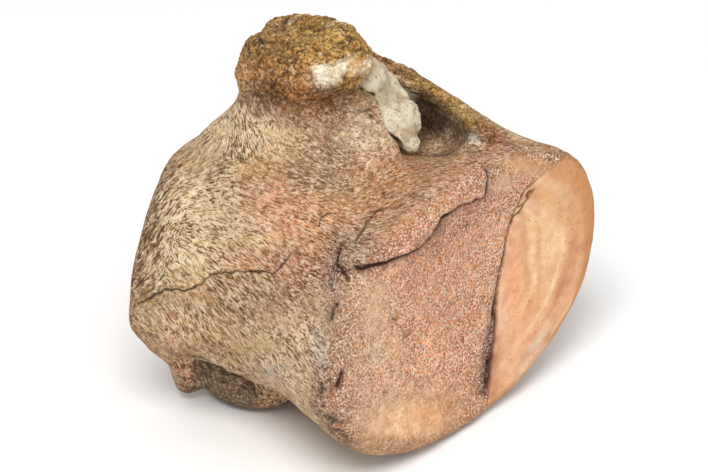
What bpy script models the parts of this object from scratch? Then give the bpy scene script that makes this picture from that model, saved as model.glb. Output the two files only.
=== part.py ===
# Fossil plesiosaur vertebra: one bone, and the pale rock that still fills the back of its canal.
# The near joint face looks towards -Y, the animal's long axis runs along Y, and Z is up.
# Lengths are in metres, with the origin on the ground under the middle of the whole piece.

import math

import bmesh
import bpy
import numpy as np
from mathutils import Vector, noise

# Driving sizes
centrum_width = 0.105
centrum_height = 0.0733
centrum_length = 0.0685
rim_round = 0.0045
face_dish = 0.0050
waist_depth = 0.0042
squareness = 2.08
shoulder_squareness = 2.55
shoulder_angle = math.radians(122)
shoulder_spread = 0.50
side_point_angle = math.radians(192)
side_point_spread = 0.16
side_point_share = 0.045
near_corner_angle = math.radians(38)
near_corner_spread = 0.45
near_corner_share = 0.034
canal_middle = 0.0065
canal_width = 0.0180
canal_height = 0.0110
canal_floor = 0.0725
knob_top = 0.1009
ridge_lean = 0.68
contact_gap = 0.0003
rest_sink = 0.0004

# Mesh sizes
ring_points = 96
shape_voxel = 0.0011
smooth_rounds = 6
join_level = 0.070
join_reach = 0.014
join_margin = 0.004
join_rounds = 60
bone_triangles = 10400
rock_triangles = 900

# The middle of the whole piece stands this far from the middle of the centrum
shift_x = 0.00052
shift_y = -0.00019

# The bone that bounds the rock stands back by this many contact gaps
gap_spread = 1.5

# How far the shoulder and the side point reach forward from the rear face
rear_start = 0.35
rear_gain = 1.30

# Low waves of the surface: height and length
wave_height = 0.00035
wave_length = 0.009

# Lumps of the knob and the broken ridge: height, length, where they start and how fast they grow upwards
lump_height = 0.0020
lump_length = 0.0046
lump_start = 0.0800
lump_rise = 0.0060

# Rounded pieces that are added or taken away: middle and half sizes
recess_ball = ((-0.0400, 0.0175, 0.0080), (0.0140, 0.0125, 0.0125))
canal_pit_ball = ((0.0105, -0.0100, 0.0750), (0.0088, 0.0122, 0.0088))
lobe_ball = ((-0.0235, 0.0185, 0.0088), (0.0118, 0.0155, 0.0098))
upper_rock_ball = ((0.0035, 0.0055, 0.0850), (0.0085, 0.0075, 0.0052))

bone_colour = (0.60, 0.40, 0.25)
bone_roughness = 0.75
rock_colour = (0.58, 0.58, 0.54)
rock_roughness = 0.85

# Swellings and hollows of the surface: middle, reach and how far the surface moves out
face_strokes = [
    ((-0.0150, -0.0340, 0.0300), (0.0220, 0.0200, 0.0280), 0.0022),
    ((-0.0330, 0.0300, 0.0680), (0.0130, 0.0120, 0.0100), 0.0022),
    ((-0.0500, 0.0000, 0.0350), (0.0150, 0.0160, 0.0200), -0.0012),
]

mid_height = centrum_height / 2
half_width = centrum_width / 2
half_length = centrum_length / 2


def clear_scene():
    for item in list(bpy.data.objects):
        bpy.data.objects.remove(item, do_unlink=True)


def add_object(name, mesh):
    item = bpy.data.objects.new(name, mesh)
    bpy.context.scene.collection.objects.link(item)
    return item


def loft(name, rings):
    """A closed body through rings of equal point counts, with a fan at each end."""
    count = len(rings[0])
    points = [tuple(point) for ring in rings for point in ring]
    points.append(tuple(np.mean(rings[0], axis=0)))
    points.append(tuple(np.mean(rings[-1], axis=0)))
    faces = []
    for row in range(len(rings) - 1):
        for column in range(count):
            after = (column + 1) % count
            low = row * count
            high = low + count
            faces.append((low + column, low + after, high + after, high + column))
    last = (len(rings) - 1) * count
    for column in range(count):
        after = (column + 1) % count
        faces.append((after, column, len(points) - 2))
        faces.append((last + column, last + after, len(points) - 1))
    mesh = bpy.data.meshes.new(name)
    mesh.from_pydata(points, [], faces)
    face_outwards(mesh)
    return add_object(name, mesh)


def face_outwards(mesh):
    work = bmesh.new()
    work.from_mesh(mesh)
    bmesh.ops.recalc_face_normals(work, faces=work.faces)
    work.to_mesh(mesh)
    work.free()


def bell(distance, reach):
    """1 at no distance, falling smoothly to almost nothing at twice the reach."""
    return np.exp(-((distance / reach) ** 2))


def angle_between(angle, middle):
    return np.angle(np.exp(1j * (angle - middle)))


def centrum_outline(angle, rearness):
    """Points of the oval cross-section, squarer at the upper left towards the rear."""
    corner = bell(angle_between(angle, shoulder_angle), shoulder_spread) * rearness
    power = squareness + (shoulder_squareness - squareness) * corner
    cosine = np.cos(angle)
    sine = np.sin(angle)
    reach = (np.abs(cosine) ** power + np.abs(sine) ** power) ** (-1 / power)
    side_point = bell(angle_between(angle, side_point_angle), side_point_spread) * rearness
    near_corner = bell(angle_between(angle, near_corner_angle), near_corner_spread) * (1 - rearness)
    reach = reach * (1 + side_point_share * side_point + near_corner_share * near_corner)
    return half_width * reach * cosine, mid_height * reach * sine


def centrum_profile():
    """Steps of (radial share, place along Y) from the near face's middle to the far one's."""
    steps = []
    inner = 1 - rim_round / mid_height
    for share in np.linspace(0.06, inner, 9)[:-1]:
        steps.append((share, -half_length + face_dish * (1 - (share / inner) ** 2)))
    for turn in np.linspace(0, math.pi / 2, 6):
        steps.append((inner + (1 - inner) * math.sin(turn), -half_length + rim_round * (1 - math.cos(turn))))
    near_face = list(steps)
    for place in np.linspace(-half_length + rim_round, half_length - rim_round, 14)[1:-1]:
        waist = waist_depth / mid_height * math.cos(math.pi * place / centrum_length) ** 2
        steps.append((1 - waist, place))
    for share, place in reversed(near_face):
        steps.append((share, -place))
    return steps


def build_centrum():
    angle = np.linspace(0, 2 * math.pi, ring_points, endpoint=False)
    rings = []
    for share, place in centrum_profile():
        rearness = np.clip(rear_start + rear_gain * place / centrum_length, 0, 1)
        across, up = centrum_outline(angle, rearness)
        ring = np.stack([across * share, np.full_like(angle, place), mid_height + up * share], axis=1)
        rings.append(ring)
    return loft("centrum", rings)


def flat_ring(centre, half_sizes, power=2.3, turn=0.0):
    """A level oval ring about (x, y, z), turned about the upright."""
    angle = np.linspace(0, 2 * math.pi, ring_points, endpoint=False)
    cosine = np.cos(angle)
    sine = np.sin(angle)
    reach = (np.abs(cosine) ** power + np.abs(sine) ** power) ** (-1 / power)
    across = half_sizes[0] * reach * cosine
    along = half_sizes[1] * reach * sine
    x = centre[0] + across * math.cos(turn) - along * math.sin(turn)
    y = centre[1] + across * math.sin(turn) + along * math.cos(turn)
    return np.stack([x, y, np.full_like(angle, centre[2])], axis=1)


def upright_ring(along, across, up, half_thickness, half_rise, lean=0.0):
    """A ring square to the Y axis, an oval whose top leans over by the lean."""
    angle = np.linspace(0, 2 * math.pi, ring_points, endpoint=False)
    x = across + half_thickness * np.cos(angle) - lean * np.clip(np.sin(angle), 0, 1) ** 2
    z = up + half_rise * np.sin(angle)
    return np.stack([x, np.full_like(angle, along), z], axis=1)


def build_pedicel():
    """The stout left pedicel, wide where it grows from the centrum and leaning over the canal."""
    sections = [
        ((-0.0215, 0.0045, 0.0480), (0.0205, 0.0190)),
        ((-0.0205, 0.0045, 0.0600), (0.0208, 0.0210)),
        ((-0.0165, 0.0030, 0.0690), (0.0185, 0.0205)),
        ((-0.0130, 0.0030, 0.0735), (0.0165, 0.0192)),
        ((-0.0105, 0.0045, 0.0775), (0.0148, 0.0170)),
        ((-0.0080, 0.0065, 0.0815), (0.0135, 0.0148)),
        ((-0.0070, 0.0090, 0.0850), (0.0112, 0.0122)),
        ((-0.0080, 0.0110, 0.0880), (0.0085, 0.0095)),
    ]
    return loft("pedicel", [flat_ring(centre, sizes, 2.6) for centre, sizes in sections])


def build_knob():
    """The process above the pedicel: a thick column under a broad, blocky cap."""
    sections = [
        ((-0.0200, 0.0145, 0.0640), (0.0145, 0.0150)),
        ((-0.0198, 0.0158, 0.0735), (0.0148, 0.0146)),
        ((-0.0150, 0.0145, 0.0785), (0.0116, 0.0133)),
        ((-0.0122, 0.0140, 0.0825), (0.0102, 0.0122)),
        ((-0.0118, 0.0138, 0.0860), (0.0112, 0.0130)),
        ((-0.0107, 0.0124, 0.0900), (0.0130, 0.0150)),
        ((-0.0094, 0.0108, 0.0945), (0.0135, 0.0157)),
        ((-0.0083, 0.0104, 0.0985), (0.0121, 0.0140)),
        ((-0.0072, 0.0102, knob_top), (0.0066, 0.0078)),
    ]
    return loft("knob", [flat_ring(centre, sizes, 2.8) for centre, sizes in sections])


def build_lamina():
    """What is left of the roof of the arch, from the process across to the right pedicel."""
    sections = [
        (0.0050, 0.0080, 0.0808, 0.0090, 0.0020),
        (0.0085, 0.0060, 0.0822, 0.0120, 0.0026),
        (0.0135, 0.0055, 0.0830, 0.0130, 0.0030),
        (0.0190, 0.0060, 0.0820, 0.0130, 0.0034),
        (0.0240, 0.0070, 0.0795, 0.0125, 0.0030),
        (0.0265, 0.0080, 0.0780, 0.0100, 0.0018),
    ]
    return loft("lamina", [upright_ring(*section) for section in sections])


def build_ridge():
    """The stump of the right pedicel, which leans over the canal and falls away at both ends."""
    sections = [
        (-0.0310, 0.0240, 0.0600, 0.0100, 0.0080),
        (-0.0260, 0.0235, 0.0630, 0.0098, 0.0105),
        (-0.0180, 0.0235, 0.0645, 0.0092, 0.0124),
        (-0.0100, 0.0235, 0.0658, 0.0088, 0.0134),
        (-0.0040, 0.0235, 0.0668, 0.0086, 0.0146),
        (0.0040, 0.0235, 0.0675, 0.0086, 0.0156),
        (0.0110, 0.0230, 0.0685, 0.0088, 0.0165),
        (0.0190, 0.0225, 0.0680, 0.0092, 0.0145),
        (0.0260, 0.0220, 0.0665, 0.0095, 0.0110),
        (0.0305, 0.0220, 0.0635, 0.0095, 0.0080),
    ]
    return loft("ridge", [upright_ring(*section, lean=ridge_lean * section[4]) for section in sections])


def ball(name, centre, radii):
    mesh = bpy.data.meshes.new(name)
    work = bmesh.new()
    bmesh.ops.create_uvsphere(work, u_segments=32, v_segments=18, radius=1)
    bmesh.ops.scale(work, vec=radii, verts=work.verts)
    bmesh.ops.translate(work, vec=centre, verts=work.verts)
    work.to_mesh(mesh)
    work.free()
    return add_object(name, mesh)


def build_spur():
    """The small prong that hangs from the rear lower left of the rim."""
    sections = [
        ((-0.0360, 0.0270, 0.0200), (0.0065, 0.0055)),
        ((-0.0365, 0.0280, 0.0120), (0.0044, 0.0038)),
        ((-0.0355, 0.0285, 0.0070), (0.0036, 0.0032)),
        ((-0.0347, 0.0287, 0.0028), (0.0028, 0.0025)),
    ]
    return loft("spur", [flat_ring(centre, sizes, 2.4) for centre, sizes in sections])


def build_canal_cutter():
    """The neural canal: an oval passage along Y, open above where the arch has broken off."""
    middle = canal_floor + canal_height / 2
    places = (-0.045, 0.045)
    rings = [upright_ring(along, canal_middle, middle, canal_width / 2, canal_height / 2) for along in places]
    return loft("canal_cutter", rings)


def solver_step(target, name, operation, other=None, group=None, solver="EXACT"):
    step = target.modifiers.new(name, "BOOLEAN")
    step.operation = operation
    step.solver = solver
    if group is None:
        step.object = other
    else:
        step.operand_type = "COLLECTION"
        step.collection = group
    apply_steps(target)


def apply_steps(target):
    """Replaces the mesh by the one that the modifiers give, and clears the modifiers."""
    graph = bpy.context.evaluated_depsgraph_get()
    made = bpy.data.meshes.new_from_object(target.evaluated_get(graph))
    target.modifiers.clear()
    target.data = made


def join_pieces(target, pieces):
    group = bpy.data.collections.new("pieces")
    for piece in pieces:
        group.objects.link(piece)
    solver_step(target, "union", "UNION", group=group)
    for piece in pieces:
        bpy.data.objects.remove(piece, do_unlink=True)
    bpy.data.collections.remove(group)


def cut_away(target, cutters, solver="EXACT"):
    for cutter in cutters:
        solver_step(target, "cut", "DIFFERENCE", other=cutter, solver=solver)
        bpy.data.objects.remove(cutter, do_unlink=True)


def keep_largest(target):
    work = bmesh.new()
    work.from_mesh(target.data)
    work.faces.ensure_lookup_table()
    unseen = set(work.faces)
    shells = []
    while unseen:
        start = unseen.pop()
        shell = [start]
        for face in shell:
            for edge in face.edges:
                for near in edge.link_faces:
                    if near in unseen:
                        unseen.remove(near)
                        shell.append(near)
        shells.append(shell)
    shells.sort(key=len)
    for shell in shells[:-1]:
        bmesh.ops.delete(work, geom=shell, context="FACES")
    work.to_mesh(target.data)
    work.free()


def blend_surface(target, voxel, rounds):
    remesh = target.modifiers.new("remesh", "REMESH")
    remesh.mode = "VOXEL"
    remesh.voxel_size = voxel
    soften = target.modifiers.new("soften", "SMOOTH")
    soften.factor = 0.5
    soften.iterations = rounds
    apply_steps(target)


def vertex_arrays(mesh):
    places = np.empty(len(mesh.vertices) * 3)
    normals = np.empty(len(mesh.vertices) * 3)
    mesh.vertices.foreach_get("co", places)
    mesh.vertices.foreach_get("normal", normals)
    return places.reshape(-1, 3), normals.reshape(-1, 3)


def soften_joins(target, rounds):
    """Averages each point with its neighbours, most where the pedicels grow out of the centrum."""
    mesh = target.data
    places, _ = vertex_arrays(mesh)
    edges = np.empty(len(mesh.edges) * 2, dtype=np.int32)
    mesh.edges.foreach_get("vertices", edges)
    first, second = edges.reshape(-1, 2).T
    count = np.bincount(edges, minlength=len(places))[:, None]
    level = bell(places[:, 2] - join_level, join_reach)
    outside = np.clip((np.abs(places[:, 0] - canal_middle) - canal_width / 2) / join_margin, 0, 1)
    inside_faces = np.clip((half_length - join_margin - np.abs(places[:, 1])) / join_margin, 0, 1)
    weight = (level * outside * inside_faces)[:, None]
    for _ in range(rounds):
        total = np.zeros_like(places)
        np.add.at(total, first, places[second])
        np.add.at(total, second, places[first])
        places += weight * (total / count - places)
    mesh.vertices.foreach_set("co", places.ravel())
    mesh.update()


def press(target, strokes):
    """Pushes the surface along its normals: each stroke is a middle, a reach and an amount."""
    places, normals = vertex_arrays(target.data)
    push = np.zeros(len(places))
    for middle, reach, amount in strokes:
        away = np.linalg.norm((places - np.array(middle)) / np.array(reach), axis=1)
        push += amount * bell(away, 1.0)
    for index, place in enumerate(places):
        lumpiness = min(max((place[2] - lump_start) / lump_rise, 0.0), 1.0)
        push[index] += wave_height * noise.noise(Vector(place) / wave_length)
        push[index] += lump_height * lumpiness * noise.noise(Vector(place) / lump_length)
    places += normals * push[:, None]
    target.data.vertices.foreach_set("co", places.ravel())
    target.data.update()


def thin_out(target, triangles):
    now = sum(len(face.vertices) - 2 for face in target.data.polygons)
    thin = target.modifiers.new("thin", "DECIMATE")
    thin.ratio = min(1.0, triangles / now)
    apply_steps(target)


def set_on_ground(target):
    """Moves the body into the frame of the whole piece and presses its lowest points flat."""
    places, _ = vertex_arrays(target.data)
    places[:, 0] += shift_x
    places[:, 1] += shift_y
    places[:, 2] = np.maximum(places[:, 2] - rest_sink, 0)
    target.data.vertices.foreach_set("co", places.ravel())
    target.data.update()


def give_material(target, colour, roughness):
    material = bpy.data.materials.new(target.name)
    material.use_nodes = True
    shader = material.node_tree.nodes["Principled BSDF"]
    shader.inputs["Base Color"].default_value = (*colour, 1)
    shader.inputs["Roughness"].default_value = roughness
    shader.inputs["Metallic"].default_value = 0
    target.data.materials.clear()
    target.data.materials.append(material)
    target.data.shade_smooth()


def build_bone():
    bone = build_centrum()
    bone.name = "vertebra_bone"
    join_pieces(bone, [build_pedicel(), build_knob(), build_ridge(), build_lamina()])
    cut_away(bone, [build_canal_cutter(), ball("canal_pit", *canal_pit_ball), ball("recess", *recess_ball)])
    join_pieces(bone, [ball("lobe", *lobe_ball), build_spur()])
    keep_largest(bone)
    blend_surface(bone, shape_voxel, smooth_rounds)
    soften_joins(bone, join_rounds)
    press(bone, face_strokes)
    keep_largest(bone)
    thin_out(bone, bone_triangles)
    set_on_ground(bone)
    give_material(bone, bone_colour, bone_roughness)
    return bone


def build_rock(bone):
    """The rock plug that fills the rear of the canal and clings to its left wall in front."""
    sections = [
        (-0.0145, 0.0020, 0.0725, 0.0020, 0.0018),
        (-0.0100, 0.0040, 0.0740, 0.0060, 0.0030),
        (-0.0060, 0.0055, 0.0755, 0.0085, 0.0048),
        (0.0010, 0.0055, 0.0775, 0.0100, 0.0078),
        (0.0060, 0.0050, 0.0785, 0.0110, 0.0085),
        (0.0110, 0.0055, 0.0785, 0.0115, 0.0085),
        (0.0200, 0.0060, 0.0775, 0.0120, 0.0075),
        (0.0270, 0.0065, 0.0770, 0.0110, 0.0065),
        (0.0300, 0.0065, 0.0765, 0.0090, 0.0045),
    ]
    rock = loft("canal_rock", [upright_ring(*section) for section in sections])
    join_pieces(rock, [ball("upper_rock", *upper_rock_ball)])
    blend_surface(rock, shape_voxel, smooth_rounds)
    thin_out(rock, rock_triangles)
    set_on_ground(rock)
    cutter = add_object("rock_cutter", bone.data.copy())
    places, normals = vertex_arrays(cutter.data)
    places += normals * contact_gap * gap_spread
    cutter.data.vertices.foreach_set("co", places.ravel())
    cutter.data.update()
    cut_away(rock, [cutter], "MANIFOLD")
    keep_largest(rock)
    give_material(rock, rock_colour, rock_roughness)
    return rock


def main():
    clear_scene()
    bone = build_bone()
    build_rock(bone)


main()
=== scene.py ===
import math
from types import SimpleNamespace

import bmesh
import bpy
import numpy as np
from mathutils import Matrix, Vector


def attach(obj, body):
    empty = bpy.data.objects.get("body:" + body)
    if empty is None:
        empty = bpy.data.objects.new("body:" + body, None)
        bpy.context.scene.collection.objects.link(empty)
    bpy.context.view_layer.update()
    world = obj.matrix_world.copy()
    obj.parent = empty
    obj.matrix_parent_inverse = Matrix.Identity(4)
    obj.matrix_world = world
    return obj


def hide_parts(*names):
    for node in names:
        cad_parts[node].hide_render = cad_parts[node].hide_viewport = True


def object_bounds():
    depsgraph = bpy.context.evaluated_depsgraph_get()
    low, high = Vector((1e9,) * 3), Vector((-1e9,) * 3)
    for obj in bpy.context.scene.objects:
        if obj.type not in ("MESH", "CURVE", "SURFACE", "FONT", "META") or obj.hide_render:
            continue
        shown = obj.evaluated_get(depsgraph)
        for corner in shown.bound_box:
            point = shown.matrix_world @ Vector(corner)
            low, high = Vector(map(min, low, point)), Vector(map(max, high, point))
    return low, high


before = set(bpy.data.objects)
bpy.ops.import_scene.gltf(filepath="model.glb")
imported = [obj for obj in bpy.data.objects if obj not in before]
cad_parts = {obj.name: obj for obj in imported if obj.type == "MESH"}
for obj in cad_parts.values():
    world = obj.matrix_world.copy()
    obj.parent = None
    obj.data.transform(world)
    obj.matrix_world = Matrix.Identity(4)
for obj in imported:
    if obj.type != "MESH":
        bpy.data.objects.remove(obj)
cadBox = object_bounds()
print("frame loaded:", sorted(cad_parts))

# A fossil vertebra: one skin for the bone, one for the rock in its canal, both grown from the solids.
# Lengths are in metres unless a note says mm; photo places are (across, down) in a 708 x 472 picture.

viewPoint = {
    "azimuth": -49.0, "elevation": 30.0, "lens": 300.0, "sensor": 36.0, "clip": (0.05, 20),
    "frameWidth": 0.1753,                         # width of the picture at the aim
    "pictureSize": (708, 472), "facePixel": (458, 300),
    "facePlace": (0.00052, -0.03069, 0.03625),    # middle of the near joint face
}


def addObject(name, data):
    obj = bpy.data.objects.new(name, data)
    bpy.context.scene.collection.objects.link(obj)
    return obj


# The aim is the face's middle moved across the picture by whole pixels, and the camera stands back from it.
def makeCamera(v):
    a, e = math.radians(v["azimuth"]), math.radians(v["elevation"])
    back = Vector((math.sin(a) * math.cos(e), -math.cos(a) * math.cos(e), math.sin(e)))
    right = Vector((math.cos(a), math.sin(a), 0))
    up = back.cross(right)
    wide, high = v["pictureSize"]
    pixel = v["frameWidth"] / wide
    across, down = v["facePixel"]
    aim = Vector(v["facePlace"]) + right * (wide / 2 - across) * pixel - up * (high / 2 - down) * pixel
    cam = bpy.data.cameras.new("camera")
    cam.lens, cam.sensor_width = v["lens"], v["sensor"]
    cam.clip_start, cam.clip_end = v["clip"]
    obj = addObject("camera", cam)
    obj.location = aim + back * (v["frameWidth"] * v["lens"] / v["sensor"])
    obj.rotation_euler = back.to_track_quat("Z", "Y").to_euler()
    bpy.context.scene.camera = obj
    return {"place": np.array(obj.location), "right": np.array(right), "up": np.array(up),
            "back": np.array(back), "gain": v["lens"] / v["sensor"] * wide, "middle": (wide / 2, high / 2)}


eye = makeCamera(viewPoint)
pixelSize = 1000 * viewPoint["frameWidth"] / viewPoint["pictureSize"][0]   # mm
print("camera made")


# Where each point falls in the photo: offset from the camera, divided by its depth.
def photoPlace(p):
    away = p - eye["place"]
    depth = -(away @ eye["back"])
    across = eye["middle"][0] + (away @ eye["right"]) / depth * eye["gain"]
    down = eye["middle"][1] - (away @ eye["up"]) / depth * eye["gain"]
    return np.stack([across, down], axis=1)


# Rises from 0 at one level to 1 at the other by the curve 3t^2 - 2t^3
def rise(x, low, high):
    t = np.clip((x - low) / (high - low), 0, 1)
    return t * t * (3 - 2 * t)


# Bell curve, e to the power of minus x squared
def bell(x):
    return np.exp(-x * x)


# Random values on a wrapped cubic lattice, joined by the smooth curve 3t^2 - 2t^3; result within -1 and 1.
def noise(p, cell, seed):
    size = 32
    table = np.random.default_rng(seed).uniform(-1, 1, (size, size, size))
    q = p / cell + seed * 0.37
    i = np.floor(q).astype(int)
    f = q - i
    f = f * f * (3 - 2 * f)
    out = np.zeros(len(p))
    for dx in (0, 1):
        for dy in (0, 1):
            for dz in (0, 1):
                w = f[:, 0] if dx else 1 - f[:, 0]
                w = w * (f[:, 1] if dy else 1 - f[:, 1])
                w = w * (f[:, 2] if dz else 1 - f[:, 2])
                out += w * table[(i[:, 0] + dx) % size, (i[:, 1] + dy) % size, (i[:, 2] + dz) % size]
    return out


# Lattice noise summed over halving cells, each with half the height.
def waves(p, cell, seed, octaves=3):
    out = np.zeros(len(p))
    for k in range(octaves):
        out += noise(p, cell / 2 ** k, seed + k) / 2 ** k
    return out / 1.5


# Three lattice noises side by side, one for each axis, with seeds that follow each other.
def noiseShift(p, cell, seed):
    return np.stack([noise(p, cell, seed + k) for k in range(3)], axis=1)


# Distance to the nearest and next nearest of points strewn one to a lattice cell, in cells.
def cellNoise(p, cell, seed):
    size = 24
    table = np.random.default_rng(seed).uniform(0, 1, (size, size, size, 3))
    q = p / cell
    i = np.floor(q).astype(int)
    first = np.full(len(p), 9.0)
    second = np.full(len(p), 9.0)
    for dx in (-1, 0, 1):
        for dy in (-1, 0, 1):
            for dz in (-1, 0, 1):
                j = i + (dx, dy, dz)
                seedPoint = j + table[j[:, 0] % size, j[:, 1] % size, j[:, 2] % size]
                d = np.linalg.norm(q - seedPoint, axis=1)
                second = np.minimum(np.maximum(first, d), second)
                first = np.minimum(first, d)
    return first, second


# Thin ridges where a lattice noise crosses zero: 1 - 2.2 |noise|
def ridged(p, cell, seed):
    return 1 - 2.2 * np.abs(noise(p, cell, seed))


# Shortest distance in pixels to a line through photo places, its sign by side (+1 right), and how far along.
def lineDistance(spot, line):
    best = np.full(len(spot), 1e9)
    side = np.ones(len(spot))
    along = np.zeros(len(spot))
    line = np.array(line, float)
    steps = np.linalg.norm(np.diff(line, axis=0), axis=1)
    before = np.concatenate([[0], np.cumsum(steps)])
    for k in range(len(line) - 1):
        a, b = line[k], line[k + 1]
        ab = b - a
        t = np.clip(((spot - a) @ ab) / (ab @ ab), 0, 1)
        off = spot - a - t[:, None] * ab
        d = np.linalg.norm(off, axis=1)
        near = d < best
        best = np.where(near, d, best)
        side = np.where(near, np.sign(ab[0] * off[:, 1] - ab[1] * off[:, 0]), side)
        along = np.where(near, (before[k] + t * steps[k]) / before[-1], along)
    return best, side, along


# 1 inside a closed outline in the photo, 0 outside, soft over some pixels of the distance to the outline.
def outlineMask(spot, outline, soft):
    inside = np.zeros(len(spot), bool)
    for (ax, ay), (bx, by) in zip(outline, outline[1:] + outline[:1]):
        crosses = (ay > spot[:, 1]) != (by > spot[:, 1])
        reach = ax + (spot[:, 1] - ay) / ((by - ay) or 1e-9) * (bx - ax)
        inside ^= crosses & (spot[:, 0] < reach)
    far = lineDistance(spot, outline + outline[:1])[0]
    return rise(np.where(inside, far, -far), -soft, soft)


# 1 within 0.35 of an oval's half sizes in the photo, a bell curve past that; turned anticlockwise by degrees.
def spotMask(spot, centre, half, turn=0.0, soft=1.0):
    c, s = math.cos(math.radians(turn)), math.sin(math.radians(turn))
    d = spot - np.array(centre)
    u = (d[:, 0] * c - d[:, 1] * s) / half[0]
    v = (d[:, 0] * s + d[:, 1] * c) / half[1]
    return bell(np.maximum(np.sqrt(u * u + v * v) - 0.35, 0) / soft)


# The greatest of several ovals, each with a share of its own
def spotShares(spot, spots, soft):
    out = 0
    for place, half, turn, share in spots:
        out = np.maximum(out, share * spotMask(spot, place, half, turn, soft))
    return out


def meshArrays(mesh):
    p = np.empty(len(mesh.vertices) * 3)
    n = np.empty(len(mesh.vertices) * 3)
    mesh.vertices.foreach_get("co", p)
    mesh.vertices.foreach_get("normal", n)
    return p.reshape(-1, 3), n.reshape(-1, 3)


def setPoints(mesh, p):
    mesh.vertices.foreach_set("co", p.ravel())
    mesh.update()
    mesh.shade_smooth()


def storeValue(mesh, name, values):
    kind = "FLOAT" if values.ndim == 1 else "FLOAT_COLOR"
    attribute = mesh.attributes.new(name, kind, "POINT")
    if values.ndim == 1:
        attribute.data.foreach_set("value", values.astype(np.float32))
    else:
        colour = np.concatenate([values, np.ones((len(values), 1))], axis=1)
        attribute.data.foreach_set("color", colour.astype(np.float32).ravel())


# A copy of a solid, its loose faces merged, laid out anew in even quads and smoothed a little.
def fineSkin(node, name, voxel, rounds):
    work = bmesh.new()
    work.from_mesh(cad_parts[node].data)
    bmesh.ops.remove_doubles(work, verts=work.verts, dist=1e-6)
    mesh = bpy.data.meshes.new(name)
    work.to_mesh(mesh)
    work.free()
    obj = addObject(name, mesh)
    even = obj.modifiers.new("even", "REMESH")
    even.mode, even.voxel_size, even.adaptivity = "VOXEL", voxel, 0
    soften = obj.modifiers.new("soften", "SMOOTH")
    soften.factor, soften.iterations = 0.5, rounds
    graph = bpy.context.evaluated_depsgraph_get()
    made = bpy.data.meshes.new_from_object(obj.evaluated_get(graph))
    obj.modifiers.clear()
    obj.data = made
    return obj


# Cuts each edge between wanted points in half, so that small shapes there get more points.
def refineFaces(obj, wanted):
    work = bmesh.new()
    work.from_mesh(obj.data)
    work.verts.ensure_lookup_table()
    edges = [e for e in work.edges if wanted[e.verts[0].index] and wanted[e.verts[1].index]]
    bmesh.ops.subdivide_edges(work, edges=edges, cuts=1, use_grid_fill=True, smooth=0)
    work.to_mesh(obj.data)
    work.free()


# 1 where the surface looks at the camera's side, 0 where it looks away, soft between.
def facingEye(p, n):
    ray = eye["place"] - p
    ray /= np.linalg.norm(ray, axis=1)[:, None]
    return rise(np.sum(n * ray, axis=1), 0.02, 0.25)


# Lines of the photo: cracks that run over the near side
crackLines = {
    "sideCrack": [(131, 305), (141, 303), (166, 290), (185, 290), (202, 284), (210, 275), (235, 271),
                  (252, 271), (271, 273), (281, 265), (292, 254), (300, 250)],
    "upperCrack": [(353, 243), (361, 232), (369, 219), (378, 211), (392, 208), (406, 203)],
    "rimCrack": [(345, 268), (362, 266), (385, 262), (397, 257), (418, 247), (430, 234), (438, 225),
                 (441, 218), (452, 210), (463, 204), (475, 200), (483, 196), (485, 190), (486, 178),
                 (484, 171)],
    "faceCrack": [(542, 175), (534, 182), (524, 191), (520, 200), (516, 208), (512, 217), (510, 223),
                  (508, 233), (506, 245), (504, 257), (499, 288), (497, 314), (493, 343), (492, 363),
                  (488, 398)],
    "edgeCrack": [(351, 283), (337, 264), (343, 240)],
    "leftHole": [(336, 305), (331, 318)],
    "lowHole": [(344, 373), (339, 386)],
    "hairCrack": [(318, 228), (321, 218), (328, 213)],
    "topBranch": [(516, 208), (523, 204), (527, 196), (535, 186)],
    "midBranch": [(511, 226), (514, 216), (519, 212), (524, 203)],
    "scarp": [(391, 308), (394, 318), (401, 328), (408, 334), (405, 342)],
    # the ledge is no crack: its dark band is a painted shadow under the ledge
    "ledge": [(174, 355), (188, 356), (201, 357), (222, 368), (228, 374), (247, 376), (254, 388), (260, 404)],
}
crackForm = {  # depth and half width in mm
    "sideCrack": (0.55, 0.30), "upperCrack": (0.55, 0.35), "rimCrack": (0.90, 0.42), "faceCrack": (1.20, 0.38),
    "edgeCrack": (0.70, 0.50), "leftHole": (1.60, 0.75), "lowHole": (1.20, 0.60), "hairCrack": (0.35, 0.22),
    "topBranch": (0.50, 0.30), "midBranch": (0.45, 0.26), "scarp": (0.35, 0.30), "ledge": (0.50, 0.42),
}
crackShare = {"scarp": 0.45, "ledge": 0.70, "upperCrack": 0.80}   # how dark the fainter cracks are
# Cracks of the far sides: a place, the way across, how far it runs (metres), depth and half width in mm
farCracks = [
    ((0.010, 0.034, 0.040), (0.86, 0.0, 0.50), 0.034, 0.7, 0.34),
    ((-0.012, 0.034, 0.022), (-0.35, 0.0, 0.93), 0.020, 0.5, 0.30),
    ((0.052, 0.002, 0.034), (0.10, 0.35, 0.93), 0.026, 0.6, 0.30),
    ((0.040, 0.012, 0.060), (0.30, 0.93, -0.15), 0.017, 0.5, 0.28),
    ((-0.010, 0.016, 0.001), (0.93, 0.35, 0.0), 0.026, 0.5, 0.30),
    ((-0.018, 0.012, 0.082), (0.20, 0.93, 0.30), 0.012, 0.5, 0.28),
]
rockPatch = [(312, 66), (335, 63), (354, 55), (371, 57), (392, 72), (413, 84), (417, 96), (417, 119),
             (409, 144), (398, 126), (392, 107), (388, 96), (381, 84), (365, 78), (350, 72), (334, 84),
             (316, 84)]
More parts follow.
